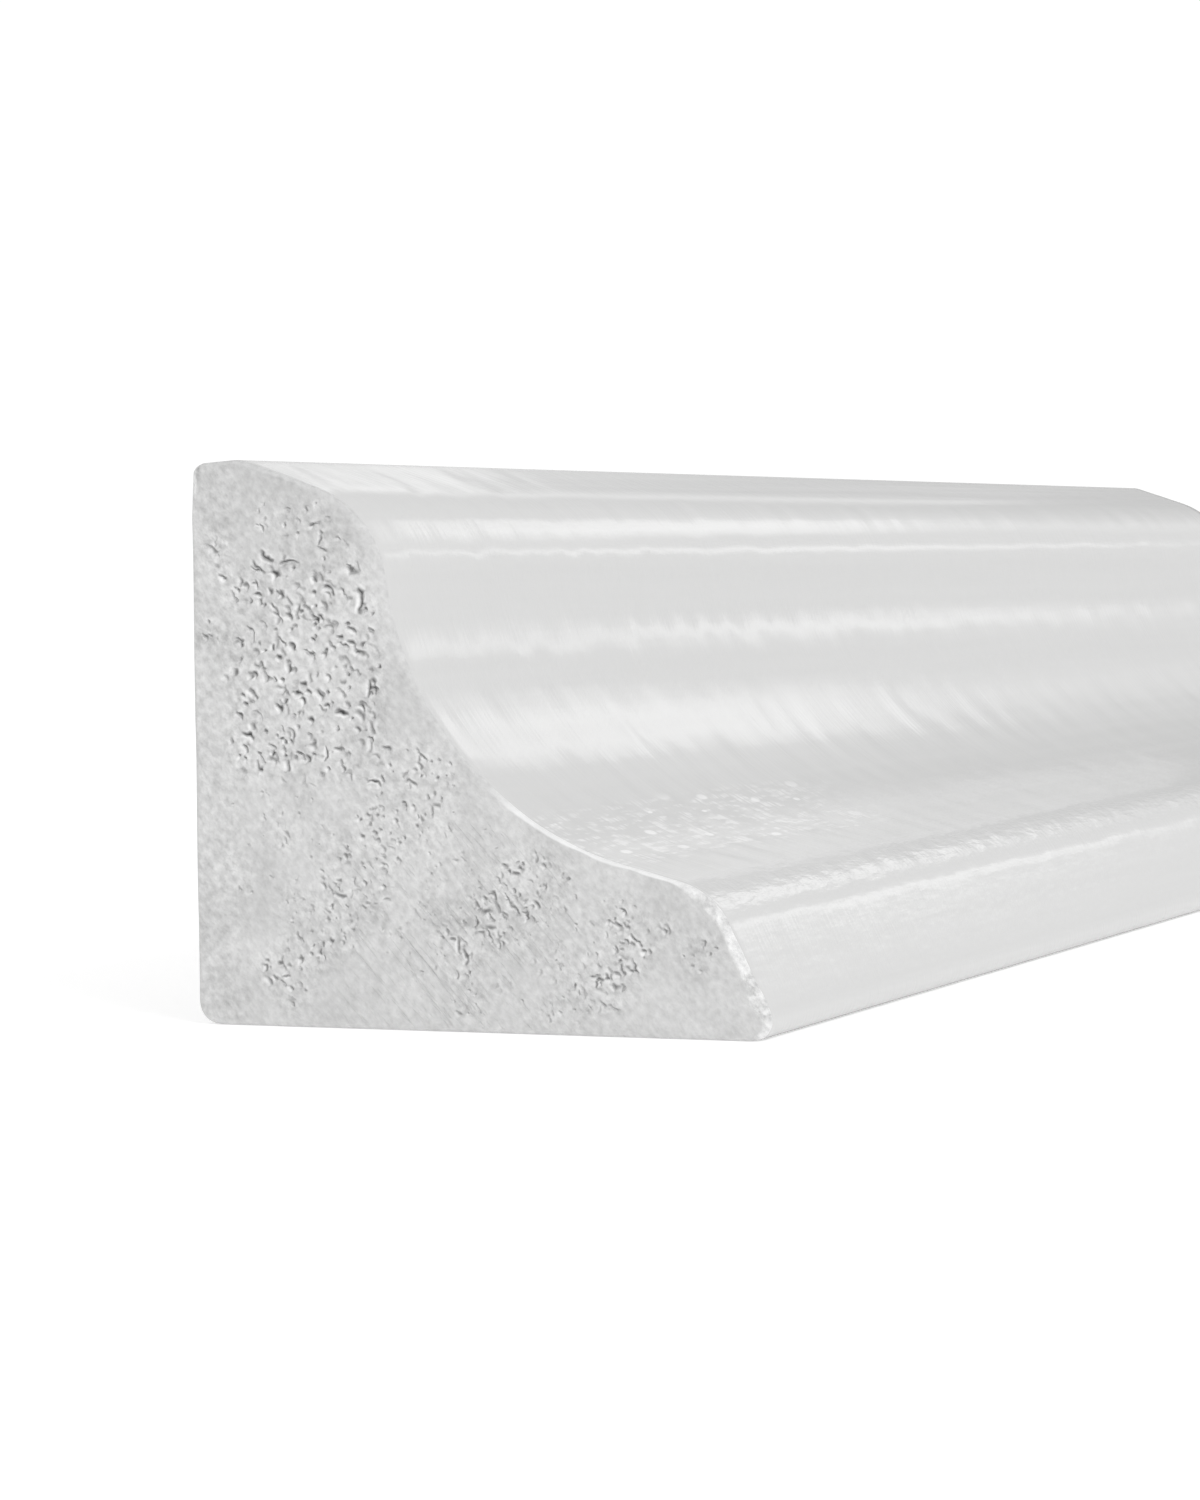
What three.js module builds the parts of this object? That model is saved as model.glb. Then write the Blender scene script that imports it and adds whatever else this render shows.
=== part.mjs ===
// Inside corner moulding: one straight length of foamed polymer trim, cut square at both ends.
//
// Units are millimetres and +Z is up. The length runs along X. The flat wall face looks along +Y,
// the flat base looks down and lies on Z = 0, and the moulded face looks along -Y and up.
// The origin is under the middle of the piece, at the centre of its base.

import * as THREE from 'three';

// Driving dimensions
const LENGTH = 110;
const HEIGHT = 19.05; // wall leg, three quarters of an inch
const DEPTH = 20.64; // base leg, thirteen sixteenths of an inch

// The moulded profile is a chain of straight runs and arcs that meet tangentially.
// It is drawn in the cross-section, with u across from the wall face and v up from the base.
// A heading is the way the outline runs, in degrees below +u: 0 runs out, 90 down, -90 up.
const WALL_TOP_RADIUS = 0.45;
const TOP_LAND_HEADING = -4;
const TOP_LAND_END_U = 1.6;
const APEX_RADIUS = 1.1;
const BEVEL_HEADING = 18.7;
const BEVEL_LENGTH = 2.68;
const LIP_RADIUS = 3.74;
const COVE_TOP_HEADING = 81.5;
const COVE_END_HEADING = 15;
const BENCH_LENGTH = 2;
const TOE_LIP_RADIUS = 2.73;
const TOE_HEADING = 64.3;
const TOE_RADIUS = 0.6;
const BASE_HEADING = 180;
const HEEL_RADIUS = 0.78;
const WALL_HEADING = 270;

// How finely an arc is split: the largest turn of one step, and the shortest chord.
const STEP_DEGREES = 4;
const SHORTEST_CHORD = 0.12;

const COLOUR = 0xe9e9e8;
const ROUGHNESS = 0.35;

// The unit vector of a heading, in (u, v).
function along(heading) {
  const angle = THREE.MathUtils.degToRad(heading);
  return new THREE.Vector2(Math.cos(angle), -Math.sin(angle));
}

// What an arc of unit radius adds to the position between two headings.
// A turn to the right, with the heading growing, is a convex stretch of the outline.
function unitArc(from, to) {
  const side = Math.sign(to - from);
  const start = THREE.MathUtils.degToRad(from);
  const end = THREE.MathUtils.degToRad(to);
  return new THREE.Vector2(Math.sin(end) - Math.sin(start), Math.cos(end) - Math.cos(start))
    .multiplyScalar(side);
}

// Draws the outline as points, one straight run or arc after another.
class OutlinePen {
  constructor(u, v, heading) {
    this.position = new THREE.Vector2(u, v);
    this.heading = heading;
    this.points = [this.position.clone()];
  }

  moveBy(offset) {
    this.position.add(offset);
    this.points.push(this.position.clone());
  }

  line(length) {
    this.moveBy(along(this.heading).multiplyScalar(length));
  }

  arc(radius, toHeading) {
    const turn = toHeading - this.heading;
    const arcLength = radius * Math.abs(THREE.MathUtils.degToRad(turn));
    const byAngle = Math.ceil(Math.abs(turn) / STEP_DEGREES);
    const byChord = Math.floor(arcLength / SHORTEST_CHORD);
    const steps = Math.max(2, Math.min(byAngle, byChord));
    const start = this.heading;
    for (let step = 1; step <= steps; step += 1) {
      const next = start + (turn * step) / steps;
      this.moveBy(unitArc(this.heading, next).multiplyScalar(radius));
      this.heading = next;
    }
  }
}

// The cove's radius and the toe's straight run close the chain at the moulding's height and depth.
// Both add to the position in proportion to their size, so they come from two linear equations.
function closeChain(start) {
  const fixed = new THREE.Vector2()
    .addScaledVector(unitArc(TOP_LAND_HEADING, BEVEL_HEADING), APEX_RADIUS)
    .addScaledVector(along(BEVEL_HEADING), BEVEL_LENGTH)
    .addScaledVector(unitArc(BEVEL_HEADING, COVE_TOP_HEADING), LIP_RADIUS)
    .addScaledVector(along(COVE_END_HEADING), BENCH_LENGTH)
    .addScaledVector(unitArc(COVE_END_HEADING, TOE_HEADING), TOE_LIP_RADIUS);
  const toeSide = THREE.MathUtils.degToRad(TOE_HEADING);
  const toeArcStart = new THREE.Vector2(
    DEPTH - TOE_RADIUS + TOE_RADIUS * Math.sin(toeSide),
    TOE_RADIUS + TOE_RADIUS * Math.cos(toeSide),
  );
  const missing = toeArcStart.sub(start).sub(fixed);
  const cove = unitArc(COVE_TOP_HEADING, COVE_END_HEADING);
  const toe = along(TOE_HEADING);
  const determinant = cove.cross(toe);
  return { coveRadius: missing.cross(toe) / determinant, toeLength: cove.cross(missing) / determinant };
}

// The closed cross-section, from the top of the wall face over the mouldings to the toe,
// then back along the base and up the wall.
function drawSection() {
  const landRise = Math.tan(THREE.MathUtils.degToRad(-TOP_LAND_HEADING));
  const apexRise = APEX_RADIUS * (1 - Math.cos(THREE.MathUtils.degToRad(TOP_LAND_HEADING)));
  const landEnd = new THREE.Vector2(TOP_LAND_END_U, HEIGHT - apexRise);
  const landStartU = WALL_TOP_RADIUS * (1 - Math.sin(THREE.MathUtils.degToRad(-TOP_LAND_HEADING)));
  const landStartV = landEnd.y - (TOP_LAND_END_U - landStartU) * landRise;
  const { coveRadius, toeLength } = closeChain(landEnd);

  const pen = new OutlinePen(landStartU, landStartV, TOP_LAND_HEADING);
  pen.line((TOP_LAND_END_U - landStartU) / Math.cos(THREE.MathUtils.degToRad(TOP_LAND_HEADING)));
  pen.arc(APEX_RADIUS, BEVEL_HEADING);
  pen.line(BEVEL_LENGTH);
  pen.arc(LIP_RADIUS, COVE_TOP_HEADING);
  pen.arc(coveRadius, COVE_END_HEADING);
  pen.line(BENCH_LENGTH);
  pen.arc(TOE_LIP_RADIUS, TOE_HEADING);
  pen.line(toeLength);
  pen.arc(TOE_RADIUS, BASE_HEADING);
  pen.line(pen.position.x - HEEL_RADIUS);
  pen.arc(HEEL_RADIUS, WALL_HEADING);
  const wallTop = landStartV - WALL_TOP_RADIUS * Math.cos(THREE.MathUtils.degToRad(TOP_LAND_HEADING));
  pen.line(wallTop - pen.position.y);
  pen.arc(WALL_TOP_RADIUS, TOP_LAND_HEADING + 360);
  pen.points.pop();
  return new THREE.Shape(pen.points);
}

function makeMoulding() {
  const geometry = new THREE.ExtrudeGeometry(drawSection(), { depth: LENGTH, bevelEnabled: false });
  const material = new THREE.MeshStandardMaterial({ color: COLOUR, roughness: ROUGHNESS, metalness: 0 });
  const mesh = new THREE.Mesh(geometry, material);
  mesh.name = 'moulding';

  // The section's u runs towards -Y and its v towards +Z, so the extrusion runs towards -X.
  const towardsFront = new THREE.Vector3(0, -1, 0);
  const up = new THREE.Vector3(0, 0, 1);
  const alongLength = new THREE.Vector3(-1, 0, 0);
  const turn = new THREE.Matrix4().makeBasis(towardsFront, up, alongLength);
  mesh.quaternion.setFromRotationMatrix(turn);
  mesh.position.set(LENGTH / 2, DEPTH / 2, 0);
  return mesh;
}

const insideCornerMoulding = new THREE.Group();
insideCornerMoulding.add(makeMoulding());

export default insideCornerMoulding;
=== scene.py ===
"""The inside corner moulding as it looks: its glossy moulded skin and its sawn, porous ends."""

import functools
import math

import bpy
import numpy as np
from mathutils import Matrix, Vector
from mathutils.geometry import delaunay_2d_cdt


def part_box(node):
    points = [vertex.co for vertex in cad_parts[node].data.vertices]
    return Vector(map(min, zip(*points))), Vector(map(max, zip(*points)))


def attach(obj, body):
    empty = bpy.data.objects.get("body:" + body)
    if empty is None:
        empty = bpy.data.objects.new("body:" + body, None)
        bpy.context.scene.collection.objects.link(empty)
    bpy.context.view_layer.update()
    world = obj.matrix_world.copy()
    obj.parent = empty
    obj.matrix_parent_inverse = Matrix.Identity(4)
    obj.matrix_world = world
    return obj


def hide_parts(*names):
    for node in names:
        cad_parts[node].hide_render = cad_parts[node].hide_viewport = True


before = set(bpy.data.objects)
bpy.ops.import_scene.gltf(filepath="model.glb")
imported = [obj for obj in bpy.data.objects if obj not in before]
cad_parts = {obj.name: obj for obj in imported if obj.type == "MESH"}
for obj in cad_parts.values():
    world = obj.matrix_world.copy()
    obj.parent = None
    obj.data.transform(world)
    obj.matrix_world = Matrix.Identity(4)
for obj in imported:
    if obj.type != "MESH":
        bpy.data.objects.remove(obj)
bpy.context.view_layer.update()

# Sizes in this script are millimetres, and Blender's are metres.
MM = 0.001
low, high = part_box("moulding")
LENGTH = (high.x - low.x) / MM
DEPTH = (high.y - low.y) / MM
HEIGHT = (high.z - low.z) / MM

# The moulded profile, as a chain of straight runs and arcs in the section.
# u runs across from the wall face, v up from the base, and a heading is in degrees below +u.
WALL_TOP_RADIUS = 0.45
TOP_LAND_HEADING = -4
TOP_LAND_END_U = 1.6
APEX_RADIUS = 1.1
BEVEL_HEADING = 18.7
BEVEL_LENGTH = 2.68
LIP_RADIUS = 3.74
COVE_TOP_HEADING = 81.5
COVE_END_HEADING = 15
BENCH_LENGTH = 2
TOE_LIP_RADIUS = 2.73
TOE_HEADING = 64.3
TOE_RADIUS = 0.6
BASE_HEADING = 180
HEEL_RADIUS = 0.78
WALL_HEADING = 270

# Places around the section are ways, measured along the outline from the start of the top land.
BEVEL_WAY = 1.6
BEVEL_END_WAY = 5.0
LIP_WAY = 7.0
ARRIS_HIGHLIGHT_WAYS = (16.2, 24.8)
SHEEN_WAYS = (17.8, 22.6)
TOE_LIP_WAY = 23.5
TOE_WAY = 26.0

# Most changes around the section fade in or out over this length
FADE = 1.0

# Spacing of the skin's grid around the section and along the length, which coarsens away from the near end
FACE_STEP = 0.28
FLAT_STEP = 1.4
CORNER_STEP = 0.17
FEWEST_ARC_STEPS = 3
NEAR_STEP = 0.25
FAR_STEP = 0.9
COARSENING = 1.6

# The arris between the skin and a sawn end: rounder at the lip, chipped around the toe, and carrying an
# uneven painted highlight, broken by flecks that each have a length and a share
ARRIS_RADIUS = 0.14
ARRIS_STEPS = 4
ARRIS_RAGGED = 0.05
RAGGED_LENGTH = 0.6
RAGGED_TOE = 1.5
LIP_ARRIS_RADIUS = 0.2
LIP_REACH = 3.0
CHIPPED_RADIUS = 0.2
CHIPPED_HIGHLIGHT = 0.55
CHIPPED_GRAIN = 1.6
CHIPPED_FLECKS = (-0.9, 0.3)
ARRIS_HIGHLIGHT = 0.75
FLECKS = ((1.1, 0.6), (0.4, 0.5))
FLECKED = 0.15

# A sawn end's grid, and the finer grid in its torn cells
END_STEP = 0.125
CELL_STEP = 0.048
LOOSE_SHIFT = 0.3
MERGED_SHARE = 0.85
TAKEN_SHARE = 1.6
END_CLEAR = 0.07
END_FADE = 0.25
CLOSEST_POINTS = 1e-7
NEAR_END_SEED = 101
FAR_END_SEED = 202
FAR_END_COARSER = 2.0
FAR_END_SHARE = 0.6
UNEVENNESS = 0.014
UNEVEN_SIZES = (0.22, 0.45)

# The sawn foam's tone and grain. The grain lies along the saw's grooves, and its contrast is low
# but for the torn cells and the strip along the wall.
GRAIN_LENGTH = 0.3
GRAIN_WIDTH = 0.2
CALM_GRAIN = 0.36
TORN_GRAIN = 0.65
WALL_GRAIN = 0.22
WALL_GRAIN_TO = 2.3
SAWN_TONE = 0.605
BLOTCH_SIZE = 1.3
BLOTCH_TONE = 0.045
TOP_TONE = 0.045
TOP_FROM = 15.5

# The saw's grooves run down to the right and show most around a point (u, v) of the end, with shorter
# creases among them; both are dented by a bump and darkened by painted shade. A range is the stretch
# of noise over which a mark grows to its full strength.
GROOVE_SLOPE = 48
GROOVE_PITCH = 0.2
GROOVE_LENGTH = 5.0
GROOVE_CENTRE = (9.5, 3.0)
GROOVE_REACH = (4.0, 3.0)
GROOVE_ANYWHERE = 0.12
GROOVE_RANGE = (0.54, 0.76)
GROOVE_STRENGTH = 0.4
CREASE_LENGTH = 1.2
CREASE_WIDTH = 0.17
CREASE_RANGE = (0.54, 0.72)
CREASE_STRENGTH = 0.25
CREASED_GROOVES = (0.1, 0.4)

# The sawn foam's material, with the greys of the painted shade in its grooves and torn cells and of its
# painted highlights
NOISE_MEAN = 0.5
FOAM_WHITE = (1, 1, 0.997, 1)
GROOVE_SHADE_GREY = 0.35
PAINTED_HIGHLIGHT_GREY = 0.95
CELL_SHADE_GREY = 0.03
SAWN_ROUGHNESS = 0.75
SAWN_NOISE_ROUGHNESS = 0.6
SAWN_BUMP = 0.7
SAWN_BUMP_DEPTH = 0.12

# Torn cells of the foam on a sawn end, in bands from one point to another:
# start (u, v), end (u, v), half width, how many, and size beside the dense patch
CELL_BANDS = (
    ((4.3, 15.6), (4.3, 8.6), 2.75, 290, 1.0),
    ((3.0, 17.6), (5.6, 16.0), 0.8, 24, 0.8),
    ((9.1, 9.3), (2.8, 0.9), 1.0, 160, 0.75),
    ((12.9, 5.9), (9.6, 2.1), 0.8, 90, 0.8),
    ((16.4, 4.0), (14.4, 1.2), 0.7, 60, 0.85),
    ((18.6, 3.0), (18.0, 2.5), 0.4, 9, 0.6),
    ((0.55, 17.0), (1.15, 15.4), 0.15, 9, 0.7),
    ((0.45, 13.2), (0.6, 12.8), 0.15, 5, 0.7),
    ((2.0, 7.5), (15.0, 1.5), 3.0, 240, 0.5),
)
STRAYING = 0.22
CELL_CLEAR = 0.45
CROWD_REACH = 0.45
CROWDED = 2.0

# One torn cell of full size: its facing in degrees, the length, bend and kinks of its edge, the width of
# the wall that drops there, the drop's depth, how far it takes to rise again, and how strong the painted
# shade along its edge is
CELL_FACING = 48
CELL_FACING_SPREAD = 27
CELL_LENGTH = 0.25
CELL_LENGTH_SPREAD = 0.5
CELL_LENGTHS = (0.1, 0.8)
CELL_RISES = (0.12, 0.3)
CELL_DEPTHS = (0.05, 0.16)
CELL_BENDS = (-0.4, 1.0)
CELL_DARKNESS = (0.2, 1.2)
CELL_WALLS = (0.024, 0.05)
CELL_MARGIN = 0.1
KINK = 0.05
KINK_SIZE = 0.14
KINK_SEED = 31

# What lies beside a cell's edge, in widths of its wall: the fine grid, the painted shade along the edge,
# and a burr and a slope that carry painted highlights
GRID_WALLS = 5
EDGE_WIDTH = 1.5
BURR_OFF = 2.6
BURR_WIDTH = 1.2
BURR_RISE = 0.1
BURR_GLINT = 0.6
SLOPE_OFF = 3
SLOPE_WIDTH = 1.5

# Chatter across the moulded skin: ripples about a millimetre apart along the length, finer ones among
# them, and faint lines along the skin. The toe is calmer, and the bevel is rough near the end only.
RIPPLE_PITCH = 1.25
RIPPLE_REACH = 2.1
RIPPLE_HEIGHT = 0.018
RIPPLE_SEED = 11
WANDER = 0.4
WANDER_LENGTH = 6.0
FINER_ALONG = 2.1
FINER_ACROSS = 1.8
FINER_SHARE = 0.3
LINE_WIDTH = 0.6
LINE_LENGTH = 26.0
LINE_SHARE = 0.1
BEVEL_SLANT = 0.85
ROUGH_BEVEL = 0.5
FAR_BEVEL = 0.15
ROUGH_BEVEL_LENGTHS = (8, 35)
CALM_TOE = 0.75

# The skin's materials: roughness and how strong the lines along it are, and features for each metre
MOULDED_SKIN = (0.12, 0.2)
FLAT_SKIN = (0.45, 0.5)
SKIN_DARK = (0.63, 0.63, 0.627, 1)
SKIN_LIGHT = (0.66, 0.66, 0.657, 1)
ROUGHNESS_SPREAD = (-0.03, 0.05)
LINES_PER_METRE = (40, 1500, 1500)
LINE_DEPTH = 0.02
CHATTER_PER_METRE = (4500, 450, 450)
CHATTER_STRENGTH = 0.5
CHATTER_DEPTH = 0.015

# Fine grain of the skin over the lip of the toe, which breaks up the highlight there
TOE_GRAIN_LENGTH = 1.1
TOE_GRAIN_WIDTH = 0.3
TOE_GRAIN_DEPTH = 0.045
TOE_GRAIN_FADE = (-0.7, 0.1)
FLAT_TOE_GRAIN = 0.13

# Painted highlights low in the cove near the end: glints on specks, and broken streaks of sheen
SPECK_SPACING = 1.7
SPECK_RADIUS = 0.33
SPECK_CORE = 0.5
SPECK_STRENGTH = 0.85
SPECK_LONGER = 2.5
STREAKS_PER_METRE = (800, 3500, 3500)
STREAK_RANGE = (0.43, 0.66)
STREAK_CHATTER = (0.35, 0.6)
STREAK_STRENGTH = 0.62
SHEEN_LENGTH = 30
SHEEN_FADE = 0.3
SHEEN_GREY = 0.95

# The photograph's camera: pixels of focal length for a frame 1500 pixels high, its turns in degrees,
# and its place in the section and before the near end
FOCAL_PIXELS = 4547.6
FRAME_HEIGHT_PIXELS = 1500
SENSOR = 36
CAMERA_YAW = 22.555
CAMERA_PITCH = 2.483
CAMERA_ROLL = -0.67
CAMERA_U = 71.605
CAMERA_BEFORE_END = 136.643
CAMERA_V = 15.787
CLIP_START = 10

# Directions of light stand off the direction of the length by one angle and turn about it by another,
# from the moulded side upwards. Each softbox has those two, then its distance, width and length in
# metres, and its radiance. All of them face a point of the part near its seen end.
SOFTBOXES = {
    "far_panel": (23, 73.5, 0.45, 0.06, 0.07, 0.68),
    "far_glow": (19.5, 77, 0.6, 0.045, 0.15, 0.16),
    "far_strip": (22, 39.9, 1.2, 0.038, 0.25, 1.0),
    "far_corner": (24.7, 63, 0.45, 0.04, 0.035, 0.5),
    "back_strip": (22.5, 130, 0.9, 0.075, 0.17, 0.34),
    "back_corner": (27, 139, 0.9, 0.1, 0.055, 0.4),
    "key": (114.7, 42.7, 1.2, 0.43, 0.43, 6.7),
}
LIT_FROM_END = 25

# The room: its level, the level and direction of its darkest corner, and the backdrop that the camera sees
ROOM_LEVEL = 0.77
DARK_LEVEL = 0.55
DARK_OFF_AXIS = 13
DARK_CLOCK = 130
DARK_REACH = 15
BACKDROP_LEVEL = 1.05

# The floor, whose glow isn't mirrored in the skin
FLOOR_REACH = 4000
FLOOR_SUNK = 0.02
FLOOR_GREY = 0.9
FLOOR_GLOW = 0.33


def heading_vector(heading):
    angle = math.radians(heading)
    return np.array((math.cos(angle), -math.sin(angle)))


def outward(heading):
    angle = math.radians(heading)
    return np.array((math.sin(angle), math.cos(angle)))


def unit_arc(start, end):
    """What an arc of unit radius between two headings adds to the position."""
    return (outward(end) - outward(start)) * math.copysign(1, end - start)


def close_chain(start):
    """The cove's radius and the toe's straight run, which close the chain at the height and depth."""
    fixed = unit_arc(TOP_LAND_HEADING, BEVEL_HEADING) * APEX_RADIUS
    fixed = fixed + heading_vector(BEVEL_HEADING) * BEVEL_LENGTH
    fixed = fixed + unit_arc(BEVEL_HEADING, COVE_TOP_HEADING) * LIP_RADIUS
    fixed = fixed + heading_vector(COVE_END_HEADING) * BENCH_LENGTH
    fixed = fixed + unit_arc(COVE_END_HEADING, TOE_HEADING) * TOE_LIP_RADIUS
    toe_centre = np.array((DEPTH - TOE_RADIUS, TOE_RADIUS))
    missing = toe_centre + outward(TOE_HEADING) * TOE_RADIUS - start - fixed
    columns = np.column_stack((unit_arc(COVE_TOP_HEADING, COVE_END_HEADING), heading_vector(TOE_HEADING)))
    return np.linalg.solve(columns, missing)


class Outline:
    """The section as points with outward normals, the way along it from the start, and what is moulded."""

    def __init__(self, position, heading):
        self.position = np.array(position, float)
        self.heading = heading
        self.way = 0.0
        self.points, self.normals, self.ways, self.moulded = [], [], [], []

    def add(self, position, heading, travelled, is_moulded):
        self.points.append(position)
        self.normals.append(outward(heading))
        self.ways.append(self.way + travelled)
        self.moulded.append(is_moulded)

    def line(self, length, step, is_moulded):
        count = max(1, round(length / step))
        forward = heading_vector(self.heading)
        for k in range(count):
            travelled = length * k / count
            self.add(self.position + forward * travelled, self.heading, travelled, is_moulded)
        self.position = self.position + forward * length
        self.way += length

    def arc(self, radius, to_heading, step, is_moulded):
        turn = to_heading - self.heading
        length = radius * abs(math.radians(turn))
        count = max(FEWEST_ARC_STEPS, round(length / step))
        for k in range(count):
            heading = self.heading + turn * k / count
            offset = unit_arc(self.heading, heading) * radius if k else 0
            self.add(self.position + offset, heading, length * k / count, is_moulded)
        self.position = self.position + unit_arc(self.heading, to_heading) * radius
        self.heading = to_heading
        self.way += length


def draw_outline():
    land = math.radians(TOP_LAND_HEADING)
    land_end = np.array((TOP_LAND_END_U, HEIGHT - APEX_RADIUS * (1 - math.cos(land))))
    land_start_u = WALL_TOP_RADIUS * (1 + math.sin(land))
    land_length = (TOP_LAND_END_U - land_start_u) / math.cos(land)
    land_start = land_end - heading_vector(TOP_LAND_HEADING) * land_length
    cove_radius, toe_length = close_chain(land_end)

    pen = Outline(land_start, TOP_LAND_HEADING)
    pen.line(land_length, FACE_STEP, True)
    pen.arc(APEX_RADIUS, BEVEL_HEADING, CORNER_STEP, True)
    pen.line(BEVEL_LENGTH, FACE_STEP, True)
    pen.arc(LIP_RADIUS, COVE_TOP_HEADING, FACE_STEP, True)
    pen.arc(cove_radius, COVE_END_HEADING, FACE_STEP, True)
    pen.line(BENCH_LENGTH, FACE_STEP, True)
    pen.arc(TOE_LIP_RADIUS, TOE_HEADING, FACE_STEP, True)
    pen.line(toe_length, FACE_STEP, True)
    pen.arc(TOE_RADIUS, BASE_HEADING, CORNER_STEP, True)
    pen.line(pen.position[0] - HEEL_RADIUS, FLAT_STEP, False)
    pen.arc(HEEL_RADIUS, WALL_HEADING, CORNER_STEP, False)
    wall_top = land_start[1] - WALL_TOP_RADIUS * math.cos(land)
    pen.line(wall_top - pen.position[1], FLAT_STEP, False)
    pen.arc(WALL_TOP_RADIUS, TOP_LAND_HEADING + 360, CORNER_STEP, True)
    return np.array(pen.points), np.array(pen.normals), np.array(pen.ways), np.array(pen.moulded)


@functools.lru_cache
def noise_table(seed, size):
    return np.random.default_rng(seed).uniform(-1, 1, (size, size))


def smooth_noise(across, along, seed):
    """Noise from -1 to 1 over two coordinates, with features about one unit wide."""
    size = 128
    table = noise_table(seed, size)
    row = np.floor(across).astype(int)
    column = np.floor(along).astype(int)
    a = across - row
    b = along - column
    a = a * a * (3 - 2 * a)
    b = b * b * (3 - 2 * b)
    first = table[row % size, column % size] * (1 - a) + table[(row + 1) % size, column % size] * a
    second = table[row % size, (column + 1) % size] * (1 - a)
    second = second + table[(row + 1) % size, (column + 1) % size] * a
    return first * (1 - b) + second * b


def ramp(value, start, end):
    """A smooth step from 0 at start to 1 at end."""
    share = np.clip((value - start) / (end - start), 0, 1)
    return share * share * (3 - 2 * share)


def bell(value, centre, width):
    """A bump of height 1 around a centre."""
    return np.exp(-(((value - centre) / width) ** 2))


def ripple(way, x):
    """How far the moulded skin stands off its true face: chatter across it and faint lines along it."""
    slanted = x + BEVEL_SLANT * np.minimum(way - BEVEL_END_WAY, 0)
    wander = WANDER * smooth_noise(way / RIPPLE_REACH, x / WANDER_LENGTH, RIPPLE_SEED)
    chatter = smooth_noise(slanted / RIPPLE_PITCH + wander, way / RIPPLE_REACH, RIPPLE_SEED + 1)
    finer_slanted = FINER_ALONG * slanted / RIPPLE_PITCH
    finer = smooth_noise(finer_slanted, FINER_ACROSS * way / RIPPLE_REACH, RIPPLE_SEED + 2)
    lines = smooth_noise(way / LINE_WIDTH, x / LINE_LENGTH, RIPPLE_SEED + 3)
    strength = 1 - CALM_TOE * ramp(way, TOE_WAY - FADE / 2, TOE_WAY + FADE)
    bevel = ROUGH_BEVEL - (1 + ROUGH_BEVEL - FAR_BEVEL) * ramp(x + LENGTH / 2, *ROUGH_BEVEL_LENGTHS)
    strength = strength + bevel * ramp(BEVEL_END_WAY - way, -FADE / 2, FADE / 2)
    strength = strength * ramp(way, BEVEL_WAY - FADE / 2, BEVEL_WAY + FADE)
    return RIPPLE_HEIGHT * strength * (chatter + FINER_SHARE * finer + LINE_SHARE * lines)


def inside(points, outline):
    """Which points lie inside a closed outline."""
    result = np.zeros(len(points), bool)
    following = np.roll(outline, -1, axis=0)
    for (u0, v0), (u1, v1) in zip(outline, following):
        crosses = (v0 > points[:, 1]) != (v1 > points[:, 1])
        if v0 == v1:
            continue
        at = u0 + (points[:, 1] - v0) * (u1 - u0) / (v1 - v0)
        result ^= crosses & (points[:, 0] < at)
    return result


def distance_to(points, outline):
    """How far each point is from the nearest side of a closed outline."""
    nearest = np.full(len(points), np.inf)
    following = np.roll(outline, -1, axis=0)
    for start, end in zip(outline, following):
        side = end - start
        share = np.clip(((points - start) @ side) / (side @ side), 0, 1)
        gap = np.linalg.norm(points - start - share[:, None] * side, axis=1)
        nearest = np.minimum(nearest, gap)
    return nearest


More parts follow.
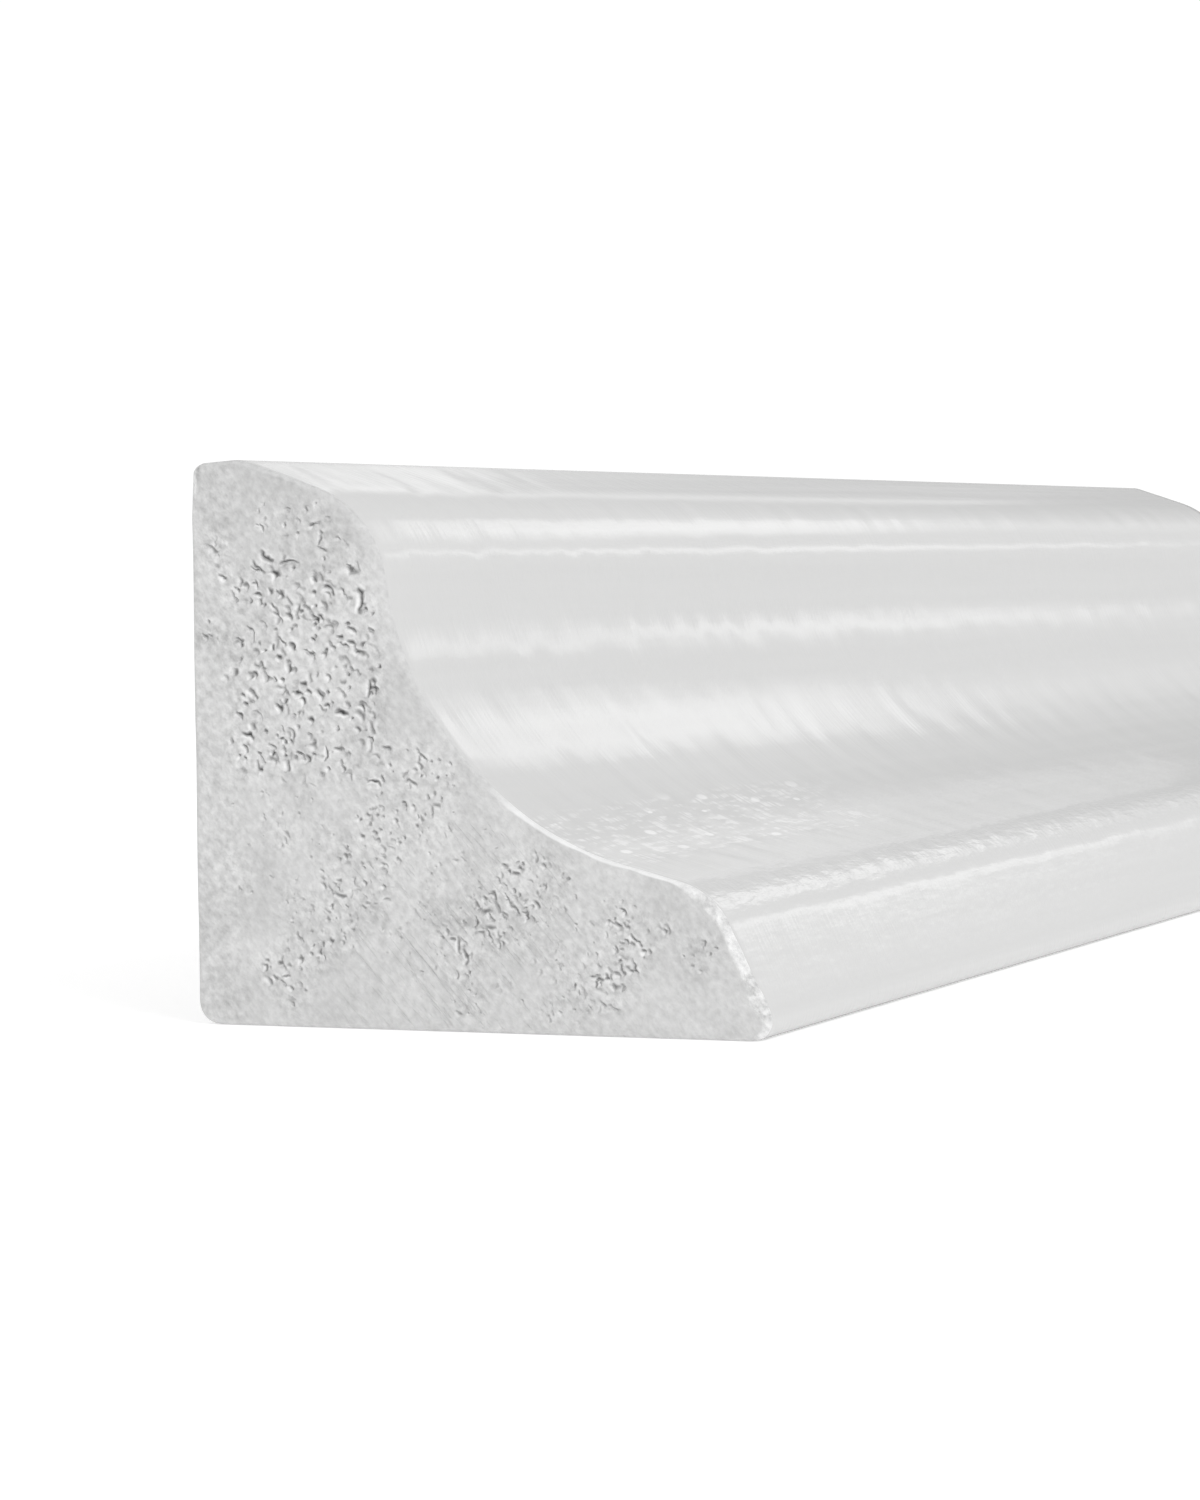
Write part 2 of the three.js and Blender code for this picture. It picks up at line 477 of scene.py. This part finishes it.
class TornCells:
    """Open cells of the foam: each is a crescent edge that drops steeply and rises again gently."""

    def __init__(self, outline, seed, share):
        rng = np.random.default_rng(seed)
        centres, sizes = [], []
        for start, end, half_width, count, size in CELL_BANDS:
            start, end = np.array(start), np.array(end)
            side = np.array((start[1] - end[1], end[0] - start[0]))
            side = side / np.linalg.norm(side)
            for _ in range(round(count * share)):
                place = start + (end - start) * rng.uniform() + side * half_width * rng.uniform(-1, 1)
                centres.append(place + STRAYING * rng.standard_normal(2))
                sizes.append(size)
        centres, sizes = np.array(centres), np.array(sizes)
        kept = inside(centres, outline) & (distance_to(centres, outline) > CELL_CLEAR)
        self.centre, self.size = centres[kept], sizes[kept]
        count = len(self.size)
        angle = np.radians(CELL_FACING + CELL_FACING_SPREAD * rng.standard_normal(count))
        self.facing = np.column_stack((np.cos(angle), np.sin(angle)))
        length = CELL_LENGTH * np.exp(CELL_LENGTH_SPREAD * rng.standard_normal(count))
        self.length = self.size * np.clip(length, *CELL_LENGTHS)
        self.rise = self.size * rng.uniform(*CELL_RISES, count)
        self.depth = self.size * rng.uniform(*CELL_DEPTHS, count)
        self.bend = rng.uniform(*CELL_BENDS, count) / self.length
        self.dark = self.size * np.clip(rng.uniform(*CELL_DARKNESS, count), 0, 1)
        self.wall = self.size * rng.uniform(*CELL_WALLS, count)

    def across(self, k):
        """The direction along the edge of cell k."""
        return np.array((-self.facing[k][1], self.facing[k][0]))

    def local(self, k, points):
        """Where points lie beside cell k: along its edge, and off the edge towards the way it faces."""
        offset = points - self.centre[k]
        along = offset @ self.across(k)
        kink = KINK * smooth_noise(points[:, 0] / KINK_SIZE, points[:, 1] / KINK_SIZE, KINK_SEED)
        off = offset @ self.facing[k] + self.bend[k] * along * along + kink
        return along, off

    def grid(self, step):
        """Points close enough together to show each cell."""
        found = []
        for k in range(len(self.length)):
            half = self.length[k] / 2 + step
            reach = GRID_WALLS * self.wall[k]
            along, off = np.meshgrid(np.arange(-half, half + step, step), np.arange(-reach, reach, step))
            along, off = along.ravel(), off.ravel()
            sideways = along[:, None] * self.across(k)
            forwards = (off - self.bend[k] * along * along)[:, None] * self.facing[k]
            found.append(self.centre[k] + sideways + forwards)
        return np.concatenate(found)

    def relief(self, points):
        """Height of the face at points, and how much painted shade and painted highlight lies beside the
        cells' edges there.
        """
        height = np.zeros(len(points))
        shade = np.zeros(len(points))
        cell_glint = np.zeros(len(points))
        for k in range(len(self.length)):
            reach = self.length[k] / 2 + self.rise[k] + CELL_MARGIN
            near = np.flatnonzero(np.abs(points - self.centre[k]).max(axis=1) < reach)
            along, off = self.local(k, points[near])
            taper = np.clip(1 - (2 * along / self.length[k]) ** 2, 0, 1)
            wall = self.wall[k]
            drop = ramp(-off, -wall, wall)
            back = 1 - ramp(-off, wall, self.rise[k])
            height[near] = np.minimum(height[near], -self.depth[k] * np.sqrt(taper) * drop * back)
            burr = bell(off, BURR_OFF * wall, BURR_WIDTH * wall)
            slope = bell(off, -SLOPE_OFF * wall, SLOPE_WIDTH * wall)
            height[near] += BURR_RISE * self.depth[k] * taper * burr
            edge = bell(off, 0, EDGE_WIDTH * wall)
            # Painted shade along the cell's edge, where the wall drops into the pit
            shade[near] = np.maximum(shade[near], self.dark[k] * np.sqrt(taper) * edge)
            # Painted highlights on the burr and on the slope beside the cell's edge
            flank = np.maximum(BURR_GLINT * burr, slope) * np.sqrt(taper)
            cell_glint[near] = np.maximum(cell_glint[near], self.dark[k] * flank)
        return height, shade, cell_glint

    def crowding(self, points):
        """How thickly the cells lie around points, from 0 to 1."""
        total = np.zeros(len(points))
        for centre, size in zip(self.centre, self.size):
            gap = (points - centre) / CROWD_REACH
            total += size * np.exp(-(gap ** 2).sum(axis=1))
        return ramp(total, 0, CROWDED)


def sawn_points(outline, cells, seed, step, cell_step):
    """Points inside the end's outline: a loose grid, and a fine one in the torn cells."""
    fine = cells.grid(cell_step)
    merged = np.floor(fine / (MERGED_SHARE * cell_step)).astype(int)
    fine = fine[np.unique(merged, axis=0, return_index=True)[1]]
    rng = np.random.default_rng(seed)
    u, v = np.meshgrid(np.arange(0, DEPTH, step), np.arange(0, HEIGHT, step))
    loose = np.column_stack((u.ravel(), v.ravel()))
    loose = loose + rng.uniform(-LOOSE_SHIFT, LOOSE_SHIFT, loose.shape) * step
    block = TAKEN_SHARE * cell_step
    taken = {tuple(key) for key in np.floor(fine / block).astype(int)}
    free = [tuple(key) not in taken for key in np.floor(loose / block).astype(int)]
    points = np.concatenate((fine, loose[free]))
    points = points[inside(points, outline)]
    return points[distance_to(points, outline) > END_CLEAR]


def sawn_unevenness(points, seed):
    """Slight heights and hollows between the torn cells."""
    u, v = points[:, 0], points[:, 1]
    heights = [smooth_noise(u / size, v / size, seed + k) for k, size in enumerate(UNEVEN_SIZES)]
    return UNEVENNESS * sum(heights)


def sawn_tone(points, seed):
    """How light the sawn foam is: slightly blotched, and a little darker at the top."""
    u, v = points[:, 0], points[:, 1]
    blotches = smooth_noise(u / BLOTCH_SIZE, v / BLOTCH_SIZE, seed)
    return SAWN_TONE + BLOTCH_TONE * blotches - TOP_TONE * ramp(v, TOP_FROM, HEIGHT)


def sawn_graininess(points, cells):
    """How strong the foam's grain is: stronger among torn cells and along the wall."""
    grain = CALM_GRAIN + (TORN_GRAIN - CALM_GRAIN) * cells.crowding(points)
    return grain + WALL_GRAIN * ramp(WALL_GRAIN_TO - points[:, 0], 0, FADE)


def groove_strength(points):
    """How strongly the saw's grooves show: most in the lower middle of the end."""
    off = (points - GROOVE_CENTRE) / GROOVE_REACH
    return GROOVE_ANYWHERE + np.exp(-(off ** 2).sum(axis=1))


def make_end(outline, inset, seed, share, coarser):
    """One sawn end: its points in the section, their heights and looks, and its triangles.
    The inset outline's own points come first, in order."""
    cells = TornCells(outline, seed, share)
    points = sawn_points(inset, cells, seed + 1, END_STEP * coarser, CELL_STEP * coarser)
    everything = np.concatenate((inset, points))
    corners = [Vector(p) for p in everything]
    border = [list(range(len(inset)))]
    inside_only = 1
    made = delaunay_2d_cdt(corners, [], border, inside_only, CLOSEST_POINTS)
    if len(made[0]) != len(everything):
        raise ValueError("the sawn end's points ran together")
    height, shade, cell_glint = cells.relief(everything)
    height = height + sawn_unevenness(everything, seed + 2)
    height = height * ramp(distance_to(everything, inset), 0.0, END_FADE)
    tone = sawn_tone(everything, seed + 3)
    grain = sawn_graininess(everything, cells)
    looks = np.column_stack((shade, cell_glint, groove_strength(everything), tone, grain))
    return everything, height, looks, made[2]


def make_arris(ways, moulded, seed):
    """The radius of an end's arris around the section, how much painted highlight it carries there, and
    how grainy it is there.
    """
    chipped = ramp(ways, TOE_LIP_WAY, TOE_LIP_WAY + FADE) * moulded
    ragged = smooth_noise(ways / RAGGED_LENGTH, ways * 0, seed) * ARRIS_RAGGED * (1 + RAGGED_TOE * chipped)
    radius = ARRIS_RADIUS + ragged + LIP_ARRIS_RADIUS * bell(ways, LIP_WAY, LIP_REACH)
    radius = radius + CHIPPED_RADIUS * chipped
    flecks = 0
    for k, (length, share) in enumerate(FLECKS, start=1):
        flecks = flecks + share * smooth_noise(ways / length, ways * 0, seed + k)
    # Painted highlight along the arris of the cove and bench, uneven with the flecks, and on the chipped
    # arris of the toe
    first, last = ARRIS_HIGHLIGHT_WAYS
    arris_highlight = ramp(ways, first, first + 2 * FADE) * ramp(last - ways, 0, FADE)
    arris_highlight = ARRIS_HIGHLIGHT * arris_highlight * (1 - FLECKED + FLECKED * flecks)
    arris_highlight = np.maximum(arris_highlight, CHIPPED_HIGHLIGHT * chipped * ramp(flecks, *CHIPPED_FLECKS))
    grain = CALM_GRAIN + (CHIPPED_GRAIN - CALM_GRAIN) * chipped
    return radius, arris_highlight, grain


class SkinMesh:
    """The moulding's mesh as it grows: rings of skin along the length, closed by the two sawn ends."""

    ATTRIBUTES = ("cell_shade", "painted_highlight", "groove", "tone", "graininess", "way")
    MOULDED, FLAT, SAWN = range(3)

    def __init__(self):
        self.points, self.normals, self.ways, self.moulded = draw_outline()
        self.skin_slots = [self.MOULDED if is_moulded else self.FLAT for is_moulded in self.moulded]
        self.sawn_slots = [self.SAWN] * len(self.points)
        self.vertices, self.faces, self.slots = [], [], []
        self.attributes = {name: [] for name in self.ATTRIBUTES}

    def add_vertex(self, x, u, v, *values):
        self.vertices.append((x, DEPTH / 2 - u, v))
        for stored, value in zip(self.attributes.values(), values):
            stored.append(value)

    def add_ring(self, place, x, arris_highlight, grain):
        """A ring of points around the section. Returns the index of its first point."""
        first = len(self.vertices)
        for k, (u, v) in enumerate(place):
            self.add_vertex(x[k], u, v, 0.0, arris_highlight[k], 0.0, SAWN_TONE, grain[k], self.ways[k])
        return first

    def join_rings(self, first, second, slots):
        count = len(self.points)
        for k in range(count):
            following = (k + 1) % count
            self.faces.append((first + k, first + following, second + following, second + k))
        self.slots.extend(slots)

    def skin_place(self, x):
        """The skin's outline at a place along the length, with its ripples."""
        offset = ripple(self.ways, x + 0 * self.ways) * self.moulded
        return self.points + self.normals * offset[:, None]

    def add_end(self, sign, seed, share, coarser):
        """A sawn end with the arris around it. Returns the arris's outer ring."""
        plane = sign * LENGTH / 2
        radius, arris_highlight, grain = make_arris(self.ways, self.moulded, seed + 5)
        inset = self.points - self.normals * radius[:, None]
        end, height, looks, triangles = make_end(self.points, inset, seed, share, coarser)
        ring = len(self.vertices)
        for (u, v), h, values in zip(end, height, looks):
            self.add_vertex(plane + sign * h, u, v, *values, 0.0)
        for triangle in triangles:
            corners = [ring + k for k in triangle]
            self.faces.append(corners if sign < 0 else corners[::-1])
            self.slots.append(self.SAWN)
        for step in range(1, ARRIS_STEPS + 1):
            angle = math.pi / 2 * step / ARRIS_STEPS
            place = self.points - self.normals * (radius * (1 - math.sin(angle)))[:, None]
            if step == ARRIS_STEPS:
                place = self.skin_place(plane)
            outer = self.add_ring(place, plane - sign * radius * (1 - math.cos(angle)), arris_highlight, grain)
            if sign < 0:
                self.join_rings(ring, outer, self.sawn_slots)
            else:
                self.join_rings(outer, ring, self.sawn_slots)
            ring = outer
        return ring

    def finish(self, name):
        mesh = bpy.data.meshes.new(name)
        mesh.from_pydata([Vector(v) * MM for v in self.vertices], [], self.faces)
        mesh.polygons.foreach_set("use_smooth", [True] * len(self.faces))
        mesh.polygons.foreach_set("material_index", self.slots)
        for attribute, values in self.attributes.items():
            mesh.attributes.new(attribute, "FLOAT", "POINT").data.foreach_set("value", values)
        mesh.update()
        return mesh


def ring_places():
    """Where the rings of the skin lie along X: close together at the end that the camera sees."""
    steps = [0.0]
    arris = ARRIS_RADIUS + ARRIS_RAGGED + LIP_ARRIS_RADIUS
    total = LENGTH - 2 * arris
    while steps[-1] < total:
        share = steps[-1] / total
        steps.append(steps[-1] + NEAR_STEP + (FAR_STEP - NEAR_STEP) * min(1, COARSENING * share))
    places = np.array(steps) * (total / steps[-1])
    return places[1:-1] + arris - LENGTH / 2


def make_mesh():
    skin = SkinMesh()
    plain = 0 * skin.ways
    ring = skin.add_end(-1, NEAR_END_SEED, 1, 1)
    for x in ring_places():
        following = skin.add_ring(skin.skin_place(x), x + plain, plain, plain)
        skin.join_rings(ring, following, skin.skin_slots)
        ring = following
    far_ring = skin.add_end(1, FAR_END_SEED, FAR_END_SHARE, FAR_END_COARSER)
    skin.join_rings(ring, far_ring, skin.skin_slots)
    return skin.finish("moulding_skin")


class NodeGraph:
    """The nodes of a material or a world, and shorthand to add and link them."""

    def __init__(self, owner):
        owner.use_nodes = True
        self.nodes = owner.node_tree.nodes
        self.links = owner.node_tree.links

    def set(self, node, inputs):
        """Gives a node's inputs their values, or links them to other nodes' outputs."""
        for key, value in inputs.items():
            if isinstance(value, bpy.types.NodeSocket):
                self.links.new(value, node.inputs[key])
            else:
                node.inputs[key].default_value = value

    def add(self, kind, inputs, output, **settings):
        """A new node's output."""
        node = self.nodes.new("ShaderNode" + kind)
        for name, value in settings.items():
            setattr(node, name, value)
        self.set(node, inputs)
        return node.outputs[output]

    def place(self):
        return self.add("TexCoord", {}, "Object")

    def attribute(self, name):
        return self.add("Attribute", {}, "Fac", attribute_name=name)

    def spread(self, value, start, end, low, high):
        """A value that runs from start to end, as one that runs smoothly from low to high."""
        inputs = {"Value": value, "From Min": start, "From Max": end, "To Min": low, "To Max": high}
        return self.add("MapRange", inputs, "Result", interpolation_type="SMOOTHSTEP")

    def combine(self, operation, first, second):
        return self.add("Math", {0: first, 1: second}, "Value", operation=operation)

    def blend(self, share, first, second):
        inputs = {"Factor": share, "A": first, "B": second}
        return self.add("Mix", inputs, "Result", data_type="RGBA")

    def noise(self, place, per_metre, detail):
        """Noise with so many features for each metre along X, Y and Z."""
        vector = self.add("Mapping", {"Vector": place, "Scale": per_metre}, "Vector")
        return self.add("TexNoise", {"Vector": vector, "Scale": 1, "Detail": detail}, "Fac")

    def grain(self, place, sizes, detail, slope=0, roughness=0.5):
        """Noise with features of given sizes along X, Y and Z, turned about X by a slope."""
        vector = self.add("Mapping", {
            "Vector": place,
            "Rotation": (math.radians(slope), 0, 0),
            "Scale": [size * MM for size in sizes],
        }, "Vector", vector_type="TEXTURE")
        inputs = {"Vector": vector, "Scale": 1, "Detail": detail, "Roughness": roughness}
        return self.add("TexNoise", inputs, "Fac")

    def bump(self, height, strength, depth, under=None):
        """The normal of a surface with heights on it, which may lie over another bump's normal."""
        inputs = {"Strength": strength, "Distance": depth * MM, "Height": height}
        if under is not None:
            inputs["Normal"] = under
        return self.add("Bump", inputs, "Normal")


def grey(level):
    return (level, level, level, 1)


def make_speck_glints(graph, x, way):
    """Painted glints on specks of many sizes, longer along the length than around the section."""
    flat = graph.add("CombineXYZ", {
        "X": graph.combine("DIVIDE", x, SPECK_LONGER),
        "Y": graph.combine("MULTIPLY", way, MM),
    }, "Vector")
    cells = graph.nodes.new("ShaderNodeTexVoronoi")
    cells.voronoi_dimensions = "2D"
    graph.set(cells, {"Vector": flat, "Scale": 1 / (SPECK_SPACING * MM)})
    size = graph.add("SeparateColor", {"Color": cells.outputs["Color"]}, "Red")
    gap = graph.combine("DIVIDE", cells.outputs["Distance"], size)
    radius = SPECK_RADIUS / SPECK_SPACING
    return graph.spread(gap, SPECK_CORE * radius, radius, SPECK_STRENGTH, 0)


def make_painted_sheen(graph, place, way, chatter):
    """How much painted sheen lies on the skin low in the cove near the end: glints on specks, and broken
    streaks where the chatter is strong.
    """
    x = graph.add("SeparateXYZ", {"Vector": place}, "X")
    streaks = graph.noise(place, STREAKS_PER_METRE, detail=2)
    streaks = graph.spread(streaks, *STREAK_RANGE, 0, STREAK_STRENGTH)
    streaks = graph.combine("MULTIPLY", streaks, graph.spread(chatter, *STREAK_CHATTER, 0, 1))
    sheen_amount = graph.combine("MAXIMUM", make_speck_glints(graph, x, way), streaks)
    first, last = SHEEN_WAYS
    sheen_amount = graph.combine("MULTIPLY", sheen_amount, graph.spread(way, first, first + FADE, 0, 1))
    sheen_amount = graph.combine("MULTIPLY", sheen_amount, graph.spread(way, last - FADE, last, 1, 0))
    end = SHEEN_LENGTH - LENGTH / 2
    fade = graph.spread(x, (end - SHEEN_FADE * SHEEN_LENGTH) * MM, end * MM, 1, 0)
    return graph.combine("MULTIPLY", sheen_amount, fade)


def make_toe_grain(graph, place, way):
    """Heights of the skin's grain over the lip of the toe, fainter on the straight toe below it."""
    grain = graph.grain(place, (TOE_GRAIN_LENGTH, TOE_GRAIN_WIDTH, TOE_GRAIN_WIDTH), detail=3)
    grain = graph.combine("SUBTRACT", grain, NOISE_MEAN)
    grain = graph.combine("MULTIPLY", grain, graph.spread(way, TOE_LIP_WAY, TOE_LIP_WAY + FADE, 0, 1))
    start, end = (TOE_WAY + offset for offset in TOE_GRAIN_FADE)
    return graph.combine("MULTIPLY", grain, graph.spread(way, start, end, 1, FLAT_TOE_GRAIN))


def skin_material(name, roughness, line_strength, is_moulded):
    material = bpy.data.materials.new(name)
    graph = NodeGraph(material)
    place = graph.place()
    lines = graph.noise(place, LINES_PER_METRE, detail=3)
    normal = graph.bump(lines, line_strength, LINE_DEPTH)
    colour = graph.blend(lines, SKIN_DARK, SKIN_LIGHT)
    if is_moulded:
        way = graph.attribute("way")
        chatter = graph.noise(place, CHATTER_PER_METRE, detail=2)
        normal = graph.bump(chatter, CHATTER_STRENGTH, CHATTER_DEPTH, under=normal)
        normal = graph.bump(make_toe_grain(graph, place, way), 1, TOE_GRAIN_DEPTH, under=normal)
        # Painted highlights: glints on specks and streaks of sheen low in the cove near the end
        colour = graph.blend(make_painted_sheen(graph, place, way, chatter), colour, grey(SHEEN_GREY))
    smoothest, roughest = (roughness + offset for offset in ROUGHNESS_SPREAD)
    graph.set(graph.nodes["Principled BSDF"], {
        "Base Color": colour,
        "Roughness": graph.spread(lines, 0, 1, smoothest, roughest),
        "Normal": normal,
    })
    return material


def sawn_material():
    material = bpy.data.materials.new("sawn_foam")
    graph = NodeGraph(material)
    place = graph.place()

    def along_grooves(length, width, detail):
        return graph.grain(place, (length, length, width), detail, GROOVE_SLOPE, SAWN_NOISE_ROUGHNESS)

    strength = graph.attribute("groove")
    scratches = along_grooves(GROOVE_LENGTH, GROOVE_PITCH, detail=2)
    scratches = graph.spread(scratches, *GROOVE_RANGE, 0, GROOVE_STRENGTH)
    scratches = graph.combine("MULTIPLY", scratches, strength)
    creases = along_grooves(CREASE_LENGTH, CREASE_WIDTH, detail=3)
    creases = graph.spread(creases, *CREASE_RANGE, 0, CREASE_STRENGTH)
    creases = graph.combine("MULTIPLY", creases, graph.spread(strength, *CREASED_GROOVES, 0, 1))
    grooves = graph.combine("MAXIMUM", scratches, creases)
    grain = along_grooves(GRAIN_LENGTH, GRAIN_WIDTH, detail=5)
    grain = graph.combine("SUBTRACT", grain, NOISE_MEAN)
    grain = graph.combine("MULTIPLY", grain, graph.attribute("graininess"))
    tone = graph.combine("ADD", graph.attribute("tone"), grain)
    colour = graph.blend(tone, grey(0), FOAM_WHITE)
    # Painted shade in the saw's grooves and creases
    colour = graph.blend(grooves, colour, grey(GROOVE_SHADE_GREY))
    # Painted highlights: along the arris, and on the burrs and slopes beside the torn cells
    colour = graph.blend(graph.attribute("painted_highlight"), colour, grey(PAINTED_HIGHLIGHT_GREY))
    # Painted shade along the torn cells' edges, standing in for the shadow inside the open cells
    colour = graph.blend(graph.attribute("cell_shade"), colour, grey(CELL_SHADE_GREY))
    height = graph.combine("SUBTRACT", grain, grooves)
    graph.set(graph.nodes["Principled BSDF"], {
        "Base Color": colour,
        "Roughness": SAWN_ROUGHNESS,
        "Normal": graph.bump(height, SAWN_BUMP, SAWN_BUMP_DEPTH),
    })
    return material


def make_moulding():
    piece = bpy.data.objects.new("moulding_body", make_mesh())
    bpy.context.scene.collection.objects.link(piece)
    piece.data.materials.append(skin_material("moulded_skin", *MOULDED_SKIN, True))
    piece.data.materials.append(skin_material("flat_skin", *FLAT_SKIN, False))
    piece.data.materials.append(sawn_material())
    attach(piece, "root")
    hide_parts("moulding")


def from_section(u, along, v):
    """A section vector, with along measured from the near end, as a direction in the frame."""
    return Vector((along, -u, v))


def make_camera():
    yaw, pitch, roll = (math.radians(a) for a in (CAMERA_YAW, CAMERA_PITCH, CAMERA_ROLL))
    forward = from_section(
        -math.sin(yaw) * math.cos(pitch), math.cos(yaw) * math.cos(pitch), -math.sin(pitch)
    )
    level = from_section(math.cos(yaw), math.sin(yaw), 0)
    upward = level.cross(forward)
    right = math.cos(roll) * level + math.sin(roll) * upward
    up = math.cos(roll) * upward - math.sin(roll) * level
    data = bpy.data.cameras.new("camera")
    data.sensor_width = SENSOR
    data.lens = FOCAL_PIXELS * SENSOR / FRAME_HEIGHT_PIXELS
    data.clip_start = CLIP_START * MM
    camera = bpy.data.objects.new("camera", data)
    bpy.context.scene.collection.objects.link(camera)
    turn = Matrix((right, up, -forward)).transposed().to_4x4()
    place = Vector((-CAMERA_BEFORE_END - LENGTH / 2, DEPTH / 2 - CAMERA_U, CAMERA_V)) * MM
    camera.matrix_world = Matrix.Translation(place) @ turn
    bpy.context.scene.camera = camera


def light_direction(off_axis, clock):
    a, c = math.radians(off_axis), math.radians(clock)
    return Vector((math.cos(a), -math.sin(a) * math.cos(c), math.sin(a) * math.sin(c)))


def softbox(name, off_axis, clock, distance, width, length, radiance):
    """A panel whose length points at the axis of the part. The skin mirrors a cone about that axis,
    so the panel's highlight follows the whole length."""
    aim = Vector((LIT_FROM_END - LENGTH / 2, 0, HEIGHT / 2)) * MM
    towards = light_direction(off_axis, clock)
    across = Vector((0, math.sin(math.radians(clock)), math.cos(math.radians(clock))))
    data = bpy.data.lights.new(name, "AREA")
    data.shape = "RECTANGLE"
    data.size = width
    data.size_y = length
    data.energy = radiance * math.pi * width * length
    light = bpy.data.objects.new(name, data)
    bpy.context.scene.collection.objects.link(light)
    turn = Matrix((across, towards.cross(across), towards)).transposed().to_4x4()
    light.matrix_world = Matrix.Translation(aim + towards * distance) @ turn
    light.visible_camera = False


def make_room():
    """An even room with one darker corner, and a white backdrop for the camera."""
    scene = bpy.context.scene
    scene.view_settings.view_transform = "Standard"
    scene.world = bpy.data.worlds.new("studio")
    graph = NodeGraph(scene.world)
    direction = graph.add("TexCoord", {}, "Generated")
    corner = light_direction(DARK_OFF_AXIS, DARK_CLOCK)
    nearness = graph.add("VectorMath", {0: direction, 1: corner}, "Value", operation="DOT_PRODUCT")
    level = graph.spread(nearness, math.cos(math.radians(DARK_REACH)), 1, ROOM_LEVEL, DARK_LEVEL)
    room = graph.add("Background", {"Color": grey(1), "Strength": level}, "Background")
    backdrop = graph.add("Background", {"Color": grey(1), "Strength": BACKDROP_LEVEL}, "Background")
    seen = graph.add("LightPath", {}, "Is Camera Ray")
    both = graph.add("MixShader", {"Fac": seen, 1: room, 2: backdrop}, "Shader")
    graph.set(graph.nodes["World Output"], {"Surface": both})


def make_floor():
    mesh = bpy.data.meshes.new("floor")
    sides = ((-1, -1), (1, -1), (1, 1), (-1, 1))
    corners = [Vector((x * FLOOR_REACH, y * FLOOR_REACH, -FLOOR_SUNK)) * MM for x, y in sides]
    mesh.from_pydata(corners, [], [(0, 1, 2, 3)])
    floor = bpy.data.objects.new("floor", mesh)
    bpy.context.scene.collection.objects.link(floor)
    material = bpy.data.materials.new("pale_floor")
    graph = NodeGraph(material)
    mirrored = graph.add("LightPath", {}, "Is Glossy Ray")
    graph.set(graph.nodes["Principled BSDF"], {
        "Base Color": grey(FLOOR_GREY),
        "Roughness": 1,
        "Emission Color": grey(1),
        "Emission Strength": graph.spread(mirrored, 0, 1, FLOOR_GLOW, 0),
    })
    mesh.materials.append(material)


make_camera()
make_moulding()
make_room()
for name, setting in SOFTBOXES.items():
    softbox(name, *setting)
make_floor()
